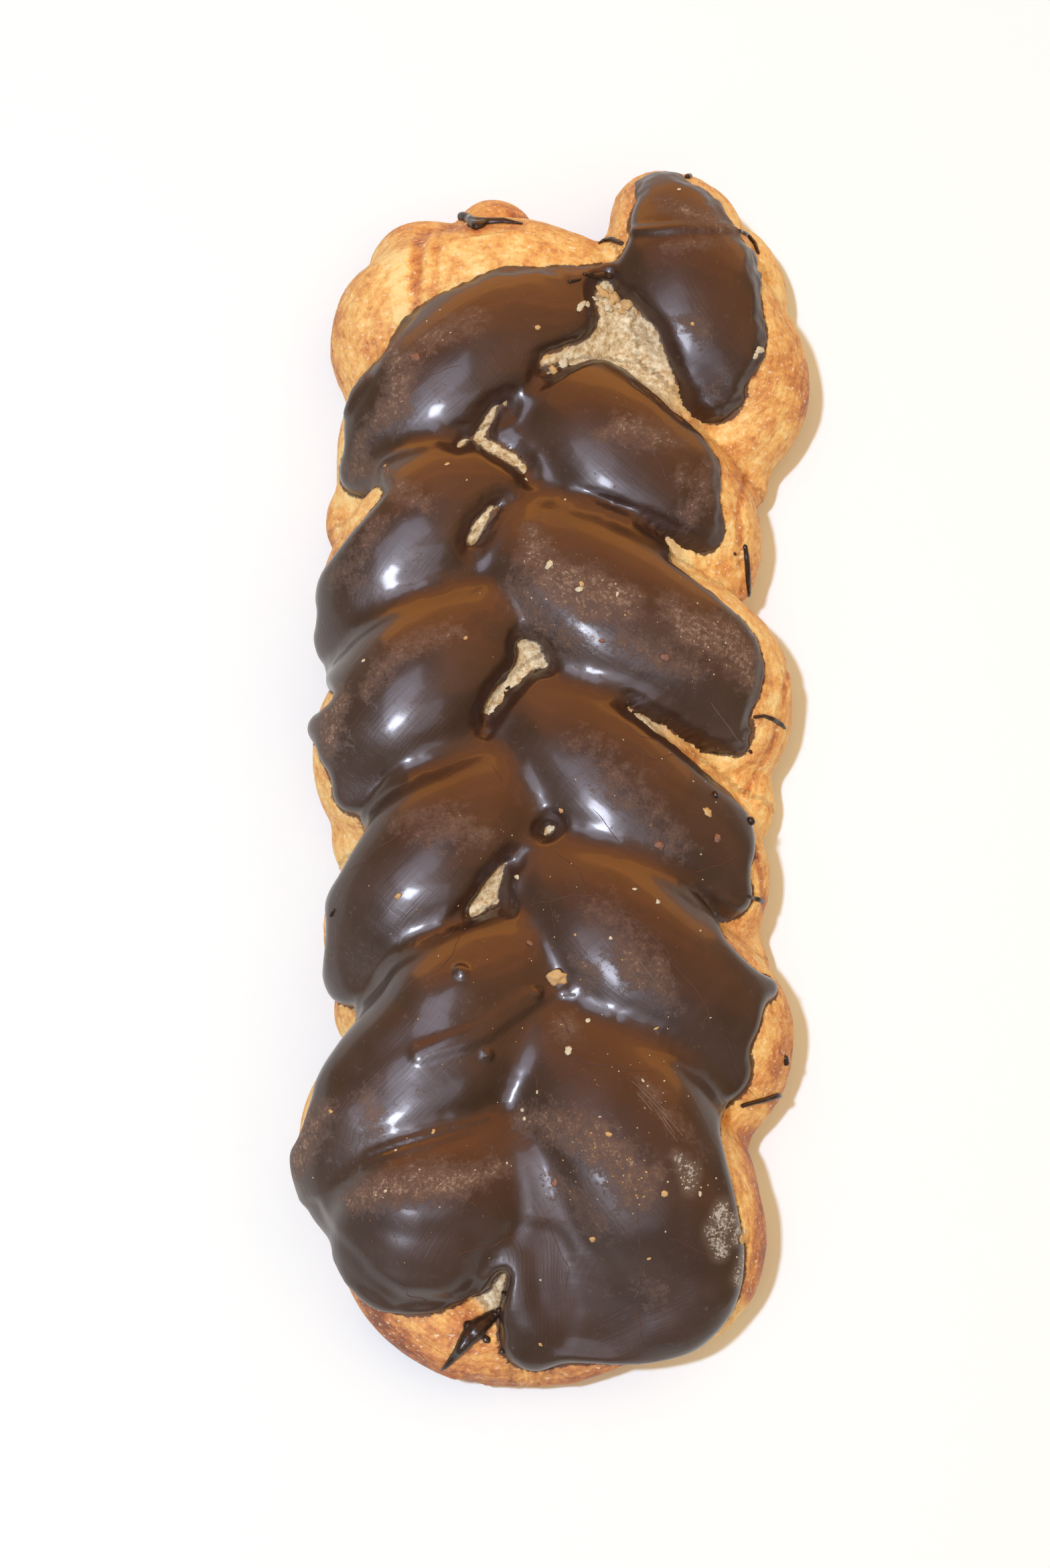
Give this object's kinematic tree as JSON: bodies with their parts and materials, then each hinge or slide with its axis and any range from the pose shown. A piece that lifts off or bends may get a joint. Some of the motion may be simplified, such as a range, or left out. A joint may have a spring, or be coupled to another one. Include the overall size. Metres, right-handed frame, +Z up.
{
  "type": "braided pastry",
  "caption": "Long plaited pastry of baked laminated dough with a dark chocolate coat poured over its lumpy top; lies on its flat underside.",
  "frame": {"origin": "on the surface that the pastry lies on, under the middle of its bounding box", "axes": "+Y along the plait towards the end with the two bare dough lobes, +X to the right seen from above, +Z up"},
  "size_m": [0.0964, 0.2394, 0.0407],
  "materials": {
    "crust": "baked pastry crust, golden to orange brown, satin",
    "chocolate": "set dark chocolate, semi-gloss with scuffed crests"
  },
  "bodies": {
    "root": {"dough": "crust", "icing": "chocolate"}
  },
  "joints": []
}
